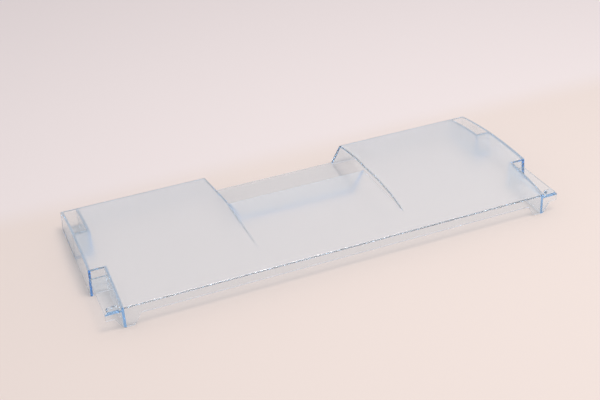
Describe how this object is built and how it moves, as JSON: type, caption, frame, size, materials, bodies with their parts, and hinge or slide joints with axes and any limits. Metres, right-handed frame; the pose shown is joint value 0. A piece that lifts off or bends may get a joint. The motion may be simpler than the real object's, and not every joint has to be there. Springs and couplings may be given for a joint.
{
  "type": "freezer drawer front",
  "caption": "Clear bowed front for a freezer drawer, with a sunk centre panel, a finger opening at the top edge, corner pockets and clip ledges.",
  "frame": {"origin": "under the middle of the front, on the plane of its back edges", "axes": "+X along the length, +Y towards the grip edge, +Z outwards through the bowed face"},
  "size_m": [0.4228, 0.174, 0.027],
  "materials": {
    "clear_blue_plastic": "clear polystyrene with a faint blue tint, bright blue at its cut edges, the bowed face finely frosted"
  },
  "bodies": {
    "root": {"drawer_front": "clear_blue_plastic"}
  },
  "joints": []
}
